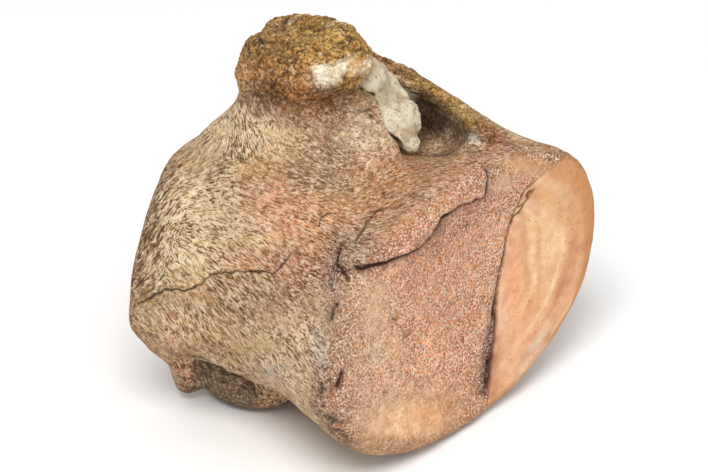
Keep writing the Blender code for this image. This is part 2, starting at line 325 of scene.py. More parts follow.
boneShape = {
    "voxel": 0.00100, "rounds": 1, "girthRadius": 0.048,
    # more points: within some pixels of a crack, within mm of a far one, on the knob and on the broken ridge
    "crackReach": (6.12, 3.6), "farReach": (1.3, 0.8), "capLevel": 0.0810, "slopeLevel": 0.0665,
    "slopeSide": (0.011, 0.036),
    "faceMiddle": (0.00052, 0.03625), "faceHalf": (0.0525, 0.03665), "endDepth": (0.024, 0.029),
    # worn band round the faces, as shares of their half sizes, and how far from the middle it starts
    "bandInner": (0.86, 0.90), "bandOuter": (1.02, 1.06), "bandDepth": (0.026, 0.030),
    # heights and sides where the knob's cap, its rugged foot, the broken ridge and the dust start, or end
    "capEdge": (0.0862, 0.0905), "ruggedEdge": (0.0795, 0.0870), "ridgeEdge": (0.0725, 0.0765),
    "ridgeStart": (0.0085, 0.0120), "ridgeEnd": (0.024, 0.032), "dustLevel": 0.070,
    "canalPlace": (0.0110, -0.0100, 0.0745), "canalHalf": (0.0095, 0.0130, 0.0075),
    "hollowPlace": (-0.0325, 0.0190, 0.0075), "hollowHalf": (0.0120, 0.0120, 0.0090),
}


# Distance in mm from the wavy plane of a far crack, and 1 within its run
def farDistance(p, crack):
    place, across, run = crack[:3]
    away = p - np.array(place)
    wave = 1.6 * waves(p, 0.009, 67) + 0.35 * noise(p, 0.0020, 68)
    within = 1 - rise(np.linalg.norm(away, axis=1) / run, 0.75, 1.0)
    return np.abs(away @ np.array(across) * 1000 + wave), within


def makeBone():
    s = boneShape
    obj = fineSkin("vertebra_bone", "boneSkin", s["voxel"], s["rounds"])
    for crackReach, farReach, first in zip(s["crackReach"], s["farReach"], (True, False)):
        p, n = meshArrays(obj.data)
        spot = photoPlace(p)
        nearest = np.min([lineDistance(spot, line)[0] for line in crackLines.values()], axis=0)
        wanted = (nearest < crackReach) & (facingEye(p, n) > 0)
        if first:
            wanted |= p[:, 2] > s["capLevel"]
            start, end = s["slopeSide"]
            wanted |= (p[:, 2] > s["slopeLevel"]) & (p[:, 0] > start) & (p[:, 0] < end)
        for crack in farCracks:
            far, within = farDistance(p, crack)
            wanted |= (far < farReach) & (within > 0) & (facingEye(p, n) < 0.5)
        refineFaces(obj, wanted)
    triangles = len(obj.data.loops) - 2 * len(obj.data.polygons)
    print("bone skin:", len(obj.data.vertices), "points,", triangles, "triangles")
    return obj


# Where the near side's fibres give way (calm) and where its joint surface is whole: place in the photo,
# half sizes, turn, share
calmSpots = [
    ((405, 420), (48, 20), 0, 0.9), ((335, 134), (22, 18), 0, 0.6), ((370, 128), (14, 16), 0, 0.7),
    ((245, 78), (14, 14), 0, 0.6), ((222, 130), (22, 14), 0, 0.35), ((262, 345), (22, 9), 0, 0.5),
    ((575, 160), (24, 14), 0, 0.7), ((430, 178), (44, 14), 0, 0.3),
]
wholeSpots = [
    ((425, 213), (62, 13), 34, 0.55), ((525, 166), (38, 13), -14, 0.85), ((372, 310), (14, 52), 0, 0.50),
    ((405, 420), (64, 26), 8, 0.85), ((395, 350), (14, 16), 0, 0.35), ((500, 185), (16, 12), 30, 0.6),
]


# Shares from 0 to 1 of each kind of surface, from where a point is and which way it looks.
def boneZones(p, n):
    s = boneShape
    x, y, height = p.T
    spot = photoPlace(p)
    near = facingEye(p, n)
    wobble = waves(p, 0.006, 11) * 0.05
    loose = 0.0035 * waves(p, 0.007, 13)
    middle, half = s["faceMiddle"], s["faceHalf"]
    roundness = np.hypot((x - middle[0]) / half[0], (height - middle[1]) / half[1])
    onEnd = rise(np.abs(n[:, 1]), 0.45, 0.80) * rise(np.abs(y), *s["endDepth"])
    onEnd = onEnd * (1 - rise(roundness, 1.0, 1.05))
    nearFace = onEnd * (y < 0)
    rearFace = onEnd * (y > 0)
    z = SimpleNamespace(spot=spot, near=near, roundness=roundness, nearFace=nearFace, rearFace=rearFace)
    # the joint surface right of the face crack is whole; left of it the bone's inside shows
    faceFar, faceSide, _ = lineDistance(spot, crackLines["faceCrack"])
    pastCrack = rise(-faceSide * faceFar, -1.0, 1.0)
    z.smooth = nearFace * pastCrack
    z.inside = nearFace * (1 - pastCrack) * (1 - spotMask(spot, (405, 425), (42, 22), 25))
    z.band = rise(roundness + wobble, *s["bandInner"]) * (1 - rise(roundness, *s["bandOuter"]))
    z.band = z.band * rise(np.abs(y), *s["bandDepth"])
    # the rough cap of the knob, its edge, and the crumbly broken ridge with its slope
    z.cap = rise(height + loose - 0.10 * (x + 0.009), *s["capEdge"])
    z.rugged = rise(height + 2 * loose, *s["ruggedEdge"]) * (1 - z.cap)
    ridge = rise(x + loose, *s["ridgeStart"]) * (1 - rise(x, *s["ridgeEnd"]))
    slope = spotMask(spot, (485, 133), (40, 17), -34, 0.3) * near
    slope = slope * rise(x, 0.012, 0.016) * (height > 0.060)
    ridge = ridge * rise(height + loose, *s["ridgeEdge"])
    z.crumble = np.clip(ridge + slope, 0, 1) * (1 - z.cap)
    z.dust = near * outlineMask(spot, rockPatch, 4) * (height > s["dustLevel"])
    # the canal pit, dark from brown stain and painted shade, and the hollow between the humps, painted with
    # shade where it faces down; each an oval body that takes in the points within it
    pit = np.linalg.norm((p - s["canalPlace"]) / s["canalHalf"], axis=1)
    z.dark = 1 - rise(pit + 3 * wobble, 0.80, 1.20)
    hollow = np.linalg.norm((p - s["hollowPlace"]) / s["hollowHalf"], axis=1)
    z.hollow = 1 - rise(hollow + wobble, 0.85, 1.10)
    # painted shade: only where the hollow's surface faces down
    z.hollow = z.hollow * rise(-n[:, 2] - 0.35 * n[:, 0], -0.40, 0.10)
    z.hollow *= 1 - 0.9 * spotMask(spot, (187, 374), (10, 18), 0, 0.4)
    covered = z.inside + z.smooth + z.cap + z.crumble + z.dark + 0.6 * rearFace + z.dust
    covered = np.clip(covered + 0.5 * z.rugged, 0, 1)
    calm = spotShares(spot, calmSpots, 0.5) * near
    z.whole = spotShares(spot, wholeSpots, 0.45) * near
    z.inside *= 1 - z.whole
    patchy = np.clip(0.62 + 0.45 * rise(waves(p, 0.010, 15), -0.35, 0.30), 0, 1)
    z.fibre = (1 - covered) * (1 - calm) * patchy * (1 - 0.9 * z.whole)
    z.coarse = near * rise(-spot[:, 0] - 0.10 * spot[:, 1], -215, -180)
    z.coarse = np.clip(z.coarse + rise(waves(p, 0.016, 17), 0.20, 0.55), 0, 1)
    rearWorn = rise(waves(p, 0.020, 21) + 6 * (0.040 - height), -0.12, 0.10)
    z.wholeFace = z.smooth + rearFace * (1 - rearWorn)
    z.grain = np.clip(z.inside + 0.85 * rearFace * rearWorn, 0, 1)
    print("zones of the bone found")
    return z


# Bumps and dents of the near side: place in the photo, radius in pixels, height in mm
lumps = [
    ((370, 128), 13, 0.9), ((335, 134), 17, 0.6), ((348, 81), 12, 0.7), ((323, 78), 7, -0.6),
    ((350, 106), 10, -0.4), ((300, 94), 12, 0.5), ((268, 96), 9, -0.6), ((285, 130), 7, -0.3),
    ((428, 236), 14, 0.5), ((400, 246), 10, 0.3), ((470, 192), 12, 0.3), ((350, 262), 9, 0.5),
    ((322, 286), 8, -0.4), ((338, 345), 8, -0.5), ((345, 395), 9, 0.4), ((330, 420), 8, -0.3),
    ((400, 328), 8, -0.4), ((385, 320), 11, 0.25), ((372, 370), 16, 0.25), ((410, 415), 22, 0.35),
    ((460, 412), 8, -0.5), ((392, 402), 8, -0.3), ((560, 300), 14, 0.3), ((212, 262), 16, 0.3),
    ((180, 345), 12, 0.5), ((240, 300), 20, 0.25), ((228, 352), 9, -0.4), ((256, 352), 8, 0.4),
    ((146, 338), 8, -0.5), ((160, 180), 10, -0.3),
]
smallPits = [((242, 160), 3.0, 1.2), ((235, 146), 2.2, 0.8), ((342, 178), 1.6, 0.5)]
marginLine = [(345, 238), (333, 268), (327, 300), (329, 340), (324, 380), (322, 415), (345, 438)]
boneRelief = {  # heights in mm
    "wave": 0.30, "ripple": 0.10, "fibre": 0.10, "grain": 0.14, "wideGrain": 0.10, "gap": 0.30, "joint": 0.20,
    "chip": 0.25, "crumble": 0.60, "dark": 0.40, "dust": 0.15, "margin": 0.55, "marginChip": 0.45,
    "marginGap": 0.60, "crust": 0.25, "stepUp": 0.60, "stepDown": 0.40, "faceGap": 1.1,
    # metres, but for the share: points below the level move by the share, and none goes further past the box
    "groundLevel": 0.0004, "groundShare": 0.1, "pastBox": 0.0004,
}


# Thin layers that run round the knob and the broken ridge, less the gaps between them and the joints of a
# cell pattern that split them; the third value is painted shade in those gaps and joints.
def roughLayers(p, z):
    r = boneRelief
    warped = p * (0.8, 0.8, 1.6) + 0.0010 * noiseShift(p, 0.004, 31)
    layers = 0.35 * waves(p, 0.0060, 41) + 0.34 * ridged(warped, 0.0040, 44)
    layers = layers + 0.20 * ridged(warped, 0.0019, 45)
    gaps = bell(noise(warped, 0.0024, 46) / 0.10) * rise(waves(p, 0.005, 47), -0.25, 0.25)
    first, second = cellNoise(warped, 0.0021, 48)
    joints = 1 - rise(second - first, 0.02, 0.22)
    rough = np.clip(z.cap + 0.9 * z.crumble + 0.75 * z.rugged, 0, 1)
    push = rough * (layers - r["gap"] * gaps - r["joint"] * joints - r["chip"] * first)
    creaseShade = np.clip(0.75 * gaps + 0.55 * joints - 0.55 * np.clip(layers, 0, 1), 0, 1)
    return push, layers, rough * creaseShade * 1.25 * (1 - 0.7 * z.dust)


# The worn left margin of the face: noise and cell chips within a bell curve of the distance to its line.
def faceMargin(p, z):
    r = boneRelief
    far = lineDistance(z.spot, marginLine)[0]
    margin = bell(far / 11) * z.near * (0.55 + 0.6 * rise(waves(p, 0.010, 57), -0.3, 0.2))
    first, second = cellNoise(p + 0.0006 * noiseShift(p, 0.0025, 34), 0.0030, 55)
    gaps = margin * (1 - rise(second - first, 0.03, 0.22))
    gaps = gaps * rise(noise(p, 0.0060, 56), -0.45, 0.25)
    push = margin * (r["margin"] * waves(p, 0.0040, 51) + r["marginChip"] * (0.5 - first))
    return push - r["marginGap"] * gaps, margin, gaps


# The crust above the rim crack stands over the face: a bell curve of the distance, up above, down below. Its
# second value is a painted shadow of the crust on the face, just below the crack.
def rimStep(p, z):
    r = boneRelief
    far, side, along = lineDistance(z.spot, crackLines["rimCrack"])
    below = side * far   # pixels on the face's side of the crack
    above = rise(-below, -0.8, 0.8)
    ends = z.near * rise(along, 0.02, 0.10)
    push = bell(far / 24) * (above * r["stepUp"] - (1 - above) * r["stepDown"]) * ends
    shade = bell((below - 2.0) / 1.8) + 0.40 * bell((below - 5) / 4) * (below > 0)
    shade = shade * ends * (0.75 + 0.35 * noise(p, 0.0030, 66))
    return push, np.clip(shade, 0, 1)


# The face is lower to the left of its own crack, by a bell curve that widens downwards. Its second value is
# painted shade in that gap.
def faceGap(z):
    far, side, along = lineDistance(z.spot, crackLines["faceCrack"])
    leftOf = rise(side * far, -0.5, 1.0)
    dip = z.near * leftOf * bell(far / (2.0 + 9.0 * rise(along, 0.50, 0.95)))
    push = dip * rise(along, 0.30, 0.60) * (1 - rise(along, 0.97, 1.0))
    shade = dip * rise(along, 0.45, 0.75) * (1 - rise(along, 0.99, 1.0))
    return -boneRelief["faceGap"] * push, shade


# Each crack is a groove with the section of a bell curve, whose line, depth and width wander. Its darkness,
# like that of the small pits, is painted shade in the groove.
def cutCracks(p, z):
    spot, near = z.spot, z.near
    push, crackShade = np.zeros(len(p)), np.zeros(len(p))
    wander = np.stack([1.3 * noise(p, 0.0016, 61) + 1.8 * noise(p, 0.0045, 62),
                       1.3 * noise(p, 0.0016, 63) + 1.2 * noise(p, 0.0045, 64)], axis=1)
    uneven = 0.65 + 0.45 * noise(p, 0.0030, 65)
    for name, (depth, half) in crackForm.items():
        far, _, along = lineDistance(spot + wander, crackLines[name])
        ends = rise(along, 0, 0.08) * (1 - rise(along, 0.92, 1)) if "Hole" not in name else 1
        taper = 0.45 + 0.75 * along if name == "faceCrack" else 1
        groove = bell(far * pixelSize / (half * taper * (0.6 + 0.5 * uneven))) * ends * near
        push -= depth * uneven * groove
        crackShade = np.maximum(crackShade, crackShare.get(name, 1.0) * groove * np.clip(0.45 + 0.8 * uneven, 0, 1))
    for crack in farCracks:
        depth, half = crack[3:]
        far, within = farDistance(p, crack)
        groove = bell(far / half) * within * (0.55 + 0.45 * noise(p, 0.0040, 69)) * (1 - near)
        push -= depth * groove
        crackShade = np.maximum(crackShade, groove)
    for place, radius, depth in smallPits:
        pit = bell(np.linalg.norm(spot - place, axis=1) / radius) * near
        push -= depth * pit
        crackShade = np.maximum(crackShade, pit)
    return push, crackShade


# Moves each point along its normal by the sum of low waves, grains, layers, lumps, steps and cracks.
def sculptBone(obj):
    r = boneRelief
    p, n = meshArrays(obj.data)
    z = boneZones(p, n)
    spot, near = z.spot, z.near
    push = r["wave"] * waves(p, 0.011, 3) + r["ripple"] * waves(p, 0.0035, 5, 2)
    push += z.fibre * r["fibre"] * noise(p * (1.0, 0.35, 1.0), 0.0014, 7)
    push += z.grain * (r["grain"] * noise(p, 0.0016, 9) + r["wideGrain"] * noise(p, 0.0030, 10))
    push += z.crumble * r["crumble"] * waves(p, 0.0045, 49)
    push += z.dark * r["dark"] * waves(p, 0.0030, 50)
    push += z.dust * r["dust"] * waves(p, 0.0020, 58)
    for place, radius, height in lumps:
        push += height * bell(np.linalg.norm(spot - place, axis=1) / radius) * near
    crust = spotMask(spot, (405, 235), (78, 16), 33) * near
    push += crust * r["crust"] * waves(p, 0.0030, 57)
    layerPush, layers, creaseShade = roughLayers(p, z)
    marginPush, margin, marginGaps = faceMargin(p, z)
    # step holds the painted shadow of the crust below the rim crack
    stepPush, step = rimStep(p, z)
    # gap holds the painted shade in the face gap
    gapPush, gap = faceGap(z)
    crackPush, crackShade = cutCracks(p, z)
    push += layerPush + marginPush + stepPush + gapPush + crackPush
    # the flats that it stands on hardly move, and nothing goes far past the solids' box
    share = np.where(p[:, 2] < r["groundLevel"], r["groundShare"], 1)
    p = p + n * (push * 0.001 * share)[:, None]
    lowCorner, highCorner = (np.array(corner) for corner in cadBox)
    p = np.clip(p, lowCorner - (r["pastBox"], r["pastBox"], 0), highCorner + r["pastBox"])
    setPoints(obj.data, p)
    print("bone sculpted")
    # painted shade in the layer gaps, the cell joints and the gaps of the worn margin
    creaseShade = np.clip(creaseShade + 0.9 * marginGaps, 0, 1)
    return z, {"crackShade": crackShade, "creaseShade": creaseShade, "gap": gap, "step": step, "layers": layers, "margin": margin,
               "crust": crust}


# Linear colour of a paint named by its screen values.
def paint(r, g, b):
    c = np.array((r, g, b)) / 255
    return np.where(c < 0.04045, c / 12.92, ((c + 0.055) / 1.055) ** 2.4)


boneColours = {
    "tan": paint(212, 172, 130), "cream": paint(238, 212, 172), "pink": paint(226, 158, 124),
    "olive": paint(148, 118, 78), "salmon": paint(255, 188, 148), "pale": paint(208, 166, 138),
    "rim": paint(182, 130, 88), "ochre": paint(202, 152, 84), "gold": paint(206, 166, 98),
    "darkBrown": paint(88, 60, 34), "pitStainAndShade": paint(50, 33, 18), "crumble": paint(190, 134, 84),
    "shade": paint(96, 72, 52), "red": paint(160, 90, 66), "grey": paint(150, 132, 112),
    "orange": paint(206, 150, 104), "rock": paint(238, 228, 206), "yellow": paint(196, 150, 62),
    "white": paint(226, 218, 208), "gapShadePurple": paint(150, 92, 82),
}
# Stains of the near side: place in the photo, half sizes, turn, paint, share
sideStains = [
    ((235, 135), (22, 30), 10, "cream", 0.55), ((265, 125), (22, 25), -20, "cream", 0.45),
    ((205, 165), (30, 14), 40, "olive", 0.45), ((160, 230), (16, 60), -12, "olive", 0.45),
    ((150, 300), (16, 14), 0, "olive", 0.45), ((200, 190), (24, 20), 30, "cream", 0.45),
    ((205, 230), (26, 30), 0, "cream", 0.55), ((180, 255), (20, 18), 0, "cream", 0.4),
    ((285, 180), (32, 16), -8, "red", 0.3), ((300, 205), (36, 18), -15, "pink", 0.55),
    ((262, 168), (20, 8), 0, "yellow", 0.3), ((255, 262), (36, 9), -6, "pink", 0.5),
    ((290, 285), (22, 20), -30, "red", 0.34), ((240, 285), (28, 10), -4, "red", 0.22),
    ((310, 215), (14, 12), 0, "yellow", 0.2), ((256, 345), (11, 7), 20, "yellow", 0.75),
    ((237, 357), (8, 5), 0, "yellow", 0.7), ((225, 350), (14, 7), -25, "red", 0.35),
    ((240, 320), (34, 22), -20, "olive", 0.25), ((290, 330), (30, 20), -20, "cream", 0.35),
    ((270, 355), (30, 16), -20, "cream", 0.35), ((158, 320), (22, 14), -30, "cream", 0.3),
    ((320, 350), (7, 16), 8, "white", 0.55), ((275, 371), (9, 5), -20, "white", 0.4),
    ((300, 372), (20, 14), -30, "cream", 0.25), ((330, 180), (32, 14), -10, "grey", 0.45),
    ((345, 245), (14, 10), 20, "olive", 0.35), ((338, 320), (10, 60), 3, "grey", 0.35),
    ((330, 395), (22, 16), -30, "pink", 0.25), ((285, 215), (30, 22), -20, "pink", 0.55),
    ((300, 265), (20, 26), 0, "red", 0.25), ((188, 225), (26, 40), -8, "cream", 0.45),
    ((225, 130), (22, 14), 30, "cream", 0.4), ((148, 215), (9, 60), -12, "darkBrown", 0.35),
    ((250, 300), (60, 14), -8, "darkBrown", 0.18), ((338, 165), (30, 26), 0, "olive", 0.4),
    ((350, 205), (30, 14), 20, "crumble", 0.35), ((180, 372), (8, 18), 0, "orange", 0.75),
]
archStains = [
    ((335, 140), (22, 22), 0, "grey", 0.55), ((366, 135), (14, 18), 10, "white", 0.42),
    # the dark brown ovals from (266, 96) to (352, 98) are partly rough brown bone, partly painted shadow under
    # the knob's cap
    ((300, 108), (34, 12), -8, "red", 0.3), ((290, 100), (40, 18), -10, "darkBrown", 0.22),
    ((400, 128), (8, 30), 18, "red", 0.7), ((352, 98), (40, 10), -4, "darkBrown", 0.15),
    ((366, 132), (20, 18), 0, "cream", 0.45), ((323, 79), (9, 9), 0, "white", 0.75),
    ((266, 96), (14, 12), -30, "darkBrown", 0.75), ((310, 106), (22, 6), -14, "darkBrown", 0.5),
    ((352, 90), (14, 5), -20, "darkBrown", 0.55), ((290, 118), (12, 6), -60, "darkBrown", 0.45),
    ((255, 70), (18, 12), 0, "orange", 0.45), ((330, 168), (40, 18), 0, "olive", 0.25),
    ((415, 165), (40, 16), 15, "red", 0.3), ((375, 165), (30, 16), 10, "pink", 0.35),
    ((490, 150), (24, 14), -25, "red", 0.6), ((440, 158), (30, 6), 0, "olive", 0.55),
    ((415, 180), (44, 20), 22, "crumble", 0.55), ((400, 205), (30, 12), 30, "crumble", 0.35),
    ((460, 180), (26, 12), 25, "pink", 0.45), ((330, 45), (26, 16), -25, "gold", 0.7),
    ((350, 40), (14, 10), -30, "gold", 0.5), ((270, 45), (24, 14), 25, "olive", 0.45),
    ((505, 165), (20, 12), 10, "cream", 0.3), ((300, 96), (36, 14), -6, "crumble", 0.45),
    ((465, 115), (30, 12), -34, "gold", 0.75), ((475, 137), (6, 5), 0, "white", 0.8),
    ((495, 135), (22, 8), -36, "red", 0.45), ((425, 85), (24, 10), -38, "gold", 0.65),
    ((330, 100), (10, 20), 20, "darkBrown", 0.35),
]
faceStains = [
    ((430, 235), (56, 14), 30, "pink", 0.45), ((385, 250), (22, 10), 20, "red", 0.35),
    ((420, 300), (40, 40), 0, "salmon", 0.5), ((372, 290), (12, 30), 0, "grey", 0.15),
    ((400, 345), (14, 14), 0, "orange", 0.45), ((372, 350), (16, 26), 0, "pink", 0.35),
    ((378, 335), (24, 50), 6, "cream", 0.4), ((405, 420), (46, 19), 12, "cream", 0.3),
    ((398, 414), (30, 9), 12, "pink", 0.25), ((490, 290), (8, 40), 4, "cream", 0.4),
    ((430, 350), (20, 40), 20, "salmon", 0.45), ((455, 235), (26, 8), 38, "red", 0.3),
    ((445, 300), (16, 30), 10, "red", 0.18), ((408, 345), (8, 10), 0, "crumble", 0.35),
    ((365, 410), (20, 16), 0, "grey", 0.25), ((440, 410), (24, 12), 30, "orange", 0.55),
    ((395, 445), (40, 8), 3, "orange", 0.4), ((420, 200), (26, 8), 30, "pale", 0.3),
    ((546, 199), (4, 4), 0, "yellow", 0.45), ((533, 228), (5, 2), 20, "yellow", 0.4),
    ((573, 235), (4, 28), 2, "red", 0.55), ((562, 290), (5, 26), -22, "red", 0.4),
    ((530, 362), (22, 3), 46, "white", 0.3), ((520, 300), (12, 26), 0, "orange", 0.35),
    ((545, 255), (3, 26), -3, "cream", 0.4), ((533, 262), (2, 24), 3, "cream", 0.35),
    ((553, 250), (2, 22), -6, "cream", 0.3), ((539, 250), (2, 30), 0, "rim", 0.45),
    ((524, 250), (3, 40), 4, "rim", 0.35), ((515, 290), (6, 40), 3, "pink", 0.45),
    ((535, 345), (20, 3), 48, "grey", 0.45), ((540, 338), (12, 2), 52, "white", 0.35),
    ((580, 200), (5, 40), -8, "crumble", 0.35), ((560, 215), (14, 30), 0, "cream", 0.35),
    # the purple ovals at the lower face gap are its red-brown colour with painted shade
    ((510, 340), (10, 30), -4, "pale", 0.5), ((487, 390), (7, 12), 0, "gapShadePurple", 0.75),
    ((492, 345), (6, 30), 3, "gapShadePurple", 0.55), ((560, 172), (18, 14), 0, "orange", 0.25),
    ((565, 205), (12, 22), 0, "rim", 0.35), ((588, 240), (7, 60), -4, "rim", 0.4),
    ((470, 400), (26, 14), 30, "orange", 0.4),
]


# Base paint of each point: zone paints, then slow mottling, then the stains of the near side.
def boneTone(p, z, extra):
    c, s = boneColours, boneShape
    tone = np.tile(c["tan"], (len(p), 1))

    def lay(share, colour):
        nonlocal tone
        share = np.clip(share, 0, 1)[:, None]
        tone = tone * (1 - share) + colour * share

    broad, middle, small = waves(p, 0.016, 71), waves(p, 0.007, 75), waves(p, 0.0028, 79)
    lay(0.75 * rise(broad + 0.4 * middle, 0.00, 0.45), c["cream"])
    lay(0.65 * rise(-broad + 0.5 * small, 0.10, 0.55), c["pink"])
    lay(0.45 * rise(middle + 0.5 * small, 0.20, 0.7), c["olive"])
    lay(z.rearFace, c["salmon"])
    lay(z.wholeFace * z.rearFace, c["pale"] * 1.08)
    lay(z.inside, c["salmon"])
    lay(z.whole * z.nearFace, c["pale"])
    lay(z.inside * 0.45 * rise(middle + 0.3 * small, 0.0, 0.5), c["pale"] * 1.15)
    lay(z.inside * 0.30 * rise(-middle + 0.3 * broad, 0.05, 0.5), c["red"] * 1.35)
    lay(z.smooth, c["pale"])
    # growth lines of the joint surface, alongside its rim
    acrossRings = np.stack([z.roundness * s["faceHalf"][0], p[:, 2] * 0.08, p[:, 1] * 0], 1)
    rings = waves(acrossRings, 0.0024, 87)
    lay(z.wholeFace * 0.55 * rise(rings, 0.0, 0.45), c["cream"] * 0.92)
    lay(z.wholeFace * 0.50 * rise(-rings, 0.05, 0.5), c["rim"] * 1.15)
    lay(z.band * 0.90, c["rim"])
    lay(z.rugged * 0.45, c["crumble"])
    lay(z.rugged * 0.5 * rise(small + 0.4 * middle, 0.1, 0.5), c["darkBrown"])
    lay(z.crumble, c["crumble"])
    lay(z.crumble * 0.6 * rise(small, 0.15, 0.5), c["gold"])
    lay(z.crumble * 0.4 * rise(-middle - small, 0.2, 0.6), c["darkBrown"])
    lay(z.cap, c["ochre"])
    lay(z.cap * 0.75 * rise(extra["layers"] + 0.6 * small, 0.15, 0.60), c["gold"])
    lay(z.cap * 0.55 * rise(broad + 0.6 * small, 0.0, 0.5), c["tan"])
    lay(z.cap * 0.65 * rise(-extra["layers"] + 0.4 * small, 0.0, 0.45), c["darkBrown"])
    knob = (z.cap + z.rugged) * z.near
    lay(knob * 0.75 * spotMask(z.spot, (247, 78), (10, 16), 0, 0.6), c["tan"])
    lay(knob * 0.55 * spotMask(z.spot, (290, 78), (44, 16), -6, 0.6), c["orange"] * 0.8)
    lay(z.cap * 0.5 * rise(-middle, 0.2, 0.6), c["olive"])
    uneven = 1.10 + 0.6 * small + 0.4 * middle
    for place, half, turn, name, share in sideStains + archStains + faceStains:
        lay(share * spotMask(z.spot, place, half, turn) * z.near * uneven, c[name])
    lay(0.55 * rise(small + 0.3 * middle, 0.35, 0.75) * (1 - z.smooth), c["cream"])
    lay(z.dust * (0.62 + 1.0 * small), c["rock"])
    # painted shade in the hollow under the ledge
    lay(z.hollow * 0.85, c["shade"])
    # painted shade in the face gap
    lay(extra["gap"] * 0.9, c["gapShadePurple"] * 0.45)
    # dark brown stain and painted shade in the canal pit
    lay(z.dark, c["pitStainAndShade"])
    return tone


fibreSlants = [  # place in the photo, slant in degrees above the horizontal
    ((160, 200), 52), ((145, 250), 58), ((142, 290), 42), ((200, 145), 38), ((232, 125), -82),
    ((262, 120), -62), ((200, 195), 12), ((212, 235), -26), ((250, 205), -20), ((300, 185), -12),
    ((300, 235), -32), ((190, 268), -42), ((240, 262), -38), ((160, 325), -45), ((188, 330), -68),
    ((225, 320), -52), ((270, 320), -40), ((300, 370), -48), ((320, 150), -30), ((380, 180), 28),
    ((250, 75), 75), ((440, 160), 4), ((330, 400), -40),
]


# Direction of the fibres as the doubled angle in the plane (girth, length): along the length by default,
# and on the near side along the slants of the photo, mixed by closeness.
def fibreTurn(p, n, z):
    weight = 0
    doubled = 0
    for place, slant in fibreSlants:
        w = 1 / (np.sum((z.spot - place) ** 2, axis=1) + 60) ** 1.6
        weight = weight + w
        doubled = doubled + w * np.exp(2j * math.radians(slant))
    slant = np.angle(doubled / weight) / 2
    right, up, back = eye["right"], eye["up"], eye["back"]
    flat = np.cos(slant)[:, None] * right + np.sin(slant)[:, None] * up
    slope = -np.sum(flat * n, axis=1) / np.maximum(n @ back, 0.15)
    tangent = flat + slope[:, None] * back
    middle = np.array((0, 0, boneShape["faceMiddle"][1]))
    radial = (p - middle) * (1, 0, 1)
    reach = np.maximum(np.linalg.norm(radial, axis=1), 0.004)
    girthWay = np.stack([-radial[:, 2], np.zeros(len(p)), radial[:, 0]], 1) / reach[:, None]
    turn = np.arctan2(tangent[:, 1], np.sum(tangent * girthWay, axis=1) * boneShape["girthRadius"] / reach)
    seen = z.near * (1 - z.nearFace)
    rest = math.pi / 2 + 0.5 * waves(p, 0.020, 83)
    doubled = seen * np.exp(2j * turn) + (1 - seen) * np.exp(2j * rest)
    doubled /= np.maximum(np.abs(doubled), 1e-6)
    return doubled.real, doubled.imag


# Gives a socket a value, or links it to another socket.
def feed(tree, socket, value):
    if isinstance(value, bpy.types.NodeSocket):
        tree.links.new(value, socket)
    else:
        socket.default_value = value


# A node with its settings, and its inputs by name or number.
def addNode(tree, kind, inputs=None, **settings):
    made = tree.nodes.new(kind)
    for name, value in settings.items():
        setattr(made, name, value)
    for name, value in (inputs or {}).items():
        feed(tree, made.inputs[name], value)
    return made


# A maths node, in the tree of whichever value is a socket
def mathNode(operation, *values):
    tree = next(value.id_data for value in values if isinstance(value, bpy.types.NodeSocket))
    return addNode(tree, "ShaderNodeMath", dict(enumerate(values)), operation=operation).outputs[0]


def times(a, b):
    return mathNode("MULTIPLY", a, b)


def plus(a, b):
    return mathNode("ADD", a, b)


# value times slope, plus start
def scaled(value, slope, start):
    return mathNode("MULTIPLY_ADD", value, slope, start)


# A smooth step of a value from one level to the other
def ramp(value, low, high, newLow=0.0, newHigh=1.0):
    levels = {"Value": value, "From Min": low, "From Max": high, "To Min": newLow, "To Max": newHigh}
    made = addNode(value.id_data, "ShaderNodeMapRange", levels, interpolation_type="SMOOTHSTEP")
    return made.outputs["Result"]


def attributeValue(tree, name):
    return addNode(tree, "ShaderNodeAttribute", attribute_name=name).outputs["Fac"]


def mixColour(tree, share, a, b, blend="MIX"):
    made = addNode(tree, "ShaderNodeMix", data_type="RGBA", blend_type=blend)
    for socket, value in ((made.inputs[0], share), (made.inputs[6], a), (made.inputs[7], b)):
        feed(tree, socket, value)
    return made.outputs[2]


def solid(colour):
    return (float(colour[0]), float(colour[1]), float(colour[2]), 1.0)


def newGroup(name, inputs, outputs):
    group = bpy.data.node_groups.new(name, "ShaderNodeTree")
    for label, value in inputs.items():
        socket = group.interface.new_socket(label, in_out="INPUT", socket_type="NodeSocketFloat")
        socket.default_value = value
    for label in outputs:
        group.interface.new_socket(label, in_out="OUTPUT", socket_type="NodeSocketFloat")
    return group, group.nodes.new("NodeGroupInput").outputs, group.nodes.new("NodeGroupOutput")


# Spots of a noise between two levels, in Object coordinates; Scale is cells to a metre.
def makeSpeckle():
    inputs = {"Scale": 1000, "Low": 0.55, "High": 0.65, "Detail": 1.5}
    group, given, out = newGroup("speckle", inputs, ("Mask", "Height"))
    place = addNode(group, "ShaderNodeTexCoord").outputs["Object"]
    form = {"Vector": place, "Scale": given["Scale"], "Detail": given["Detail"], "Roughness": 0.6}
    value = addNode(group, "ShaderNodeTexNoise", form).outputs["Fac"]
    group.links.new(ramp(value, given["Low"], given["High"]), out.inputs["Mask"])
    group.links.new(value, out.inputs["Height"])
    return group


fibreForm = {"stepDegrees": 15, "fade": (0.3, 0.7), "thickness": 0.5, "detail": 2.5, "roughness": 0.65}


